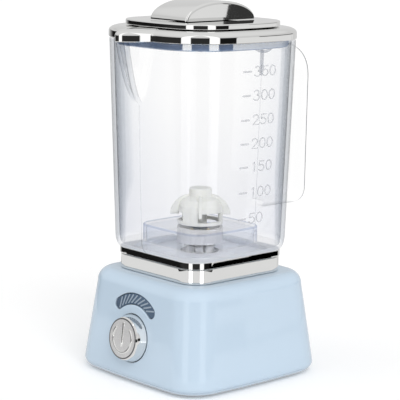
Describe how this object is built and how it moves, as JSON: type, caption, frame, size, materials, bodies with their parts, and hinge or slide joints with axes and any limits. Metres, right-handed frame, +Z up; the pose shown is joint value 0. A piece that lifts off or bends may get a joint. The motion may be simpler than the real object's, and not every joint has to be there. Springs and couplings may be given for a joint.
{
  "type": "toy blender",
  "caption": "Battery toy blender: pale blue base with push button and lit arc, clear square jug with spout, loop handle and agitator, plated lid.",
  "frame": {"origin": "on the table, under the middle of the whole object's outline (jug, spout and handle included)", "axes": "+Z up, -Y towards the button and the spout, +Y towards the handle, +X towards the graduated side of the jug"},
  "size_m": [0.089, 0.1196, 0.1783],
  "materials": {
    "blue_plastic": "glossy pale blue moulded plastic",
    "chrome_plate": "plastic with a mirror-bright plated surface",
    "clear_plastic": "clear, faintly bluish moulded plastic",
    "milky_plastic": "milky off-white plastic, slightly see-through",
    "smoke_plastic": "dark slate-blue window with pale slanted marks",
    "soft_rubber": "matt soft plastic",
    "steel": "plain or plated steel",
    "brass": "turned brass",
    "white_plastic": "white moulded plastic",
    "grey_plastic": "grey moulded plastic",
    "board": "green circuit board"
  },
  "bodies": {
    "base": {"base_housing": "blue_plastic", "base_cover": "blue_plastic", "foot_1": "soft_rubber", "foot_2": "soft_rubber", "foot_3": "soft_rubber", "foot_4": "soft_rubber", "cover_screw_1": "steel", "cover_screw_2": "steel", "cover_screw_3": "steel", "cover_screw_4": "steel", "base_collar": "chrome_plate", "battery_cell_1": "grey_plastic", "battery_cell_2": "grey_plastic", "contact_bridge": "steel", "contact_positive": "steel", "contact_negative": "steel", "gear_deck": "white_plastic", "deck_screw_1": "steel", "deck_screw_2": "steel", "deck_screw_3": "steel", "deck_screw_4": "steel", "drive_bush": "brass", "motor_can": "steel", "motor_cap": "white_plastic", "button_spring": "steel", "button_switch": "grey_plastic", "circuit_board": "board", "board_screw_1": "steel", "board_screw_2": "steel", "arc_lamp": "white_plastic", "light_window": "smoke_plastic"},
    "door": {"battery_door": "blue_plastic", "door_screw": "steel"},
    "button": {"power_button": "chrome_plate"},
    "drive": {"drive_shaft": "steel", "shaft_retainer": "steel", "drive_gear": "white_plastic", "drive_coupling": "white_plastic"},
    "motor_rotor": {"motor_shaft": "steel", "motor_pinion": "brass"},
    "jug": {"jug_ring": "chrome_plate", "jug_body": "clear_plastic", "blade_plinth": "clear_plastic", "jug_bush": "brass", "shaft_seal": "soft_rubber"},
    "blade": {"blade_shaft": "steel", "jug_coupling": "white_plastic", "agitator": "milky_plastic"},
    "lid": {"lid_cover": "chrome_plate", "lid_plug": "chrome_plate", "lid_tier": "chrome_plate", "lid_grip": "chrome_plate"}
  },
  "joints": [
    {"name": "jug_lift", "type": "slide", "parent": "base", "child": "jug", "axis": [0, 0, 1], "range_m": [0, 0.06]},
    {"name": "lid_lift", "type": "slide", "parent": "jug", "child": "lid", "axis": [0, 0, 1], "range_m": [0, 0.05]},
    {"name": "blade_spin", "type": "hinge", "parent": "jug", "child": "blade", "pos_m": [0, -0.00762, 0.0763], "axis": [0, 0, 1], "continuous": true},
    {"name": "drive_spin", "type": "hinge", "parent": "base", "child": "drive", "pos_m": [0, -0.00762, 0.0513], "axis": [0, 0, 1], "continuous": true},
    {"name": "motor_spin", "type": "hinge", "parent": "base", "child": "motor_rotor", "pos_m": [0, 0.00638, 0.0513], "axis": [0, 0, 1], "continuous": true},
    {"name": "button_press", "type": "slide", "parent": "base", "child": "button", "axis": [0, 0.9926, -0.1216], "range_m": [0, 0.002], "stiffness_N_per_m": 300, "deforming": ["button_spring"]},
    {"name": "door_lift", "type": "slide", "parent": "base", "child": "door", "axis": [0, 0, -1], "range_m": [0, 0.02]}
  ],
  "couplings": [
    {"joint": "drive_spin", "follows": "blade_spin", "ratio": 1},
    {"joint": "motor_spin", "follows": "blade_spin", "ratio": -3}
  ]
}
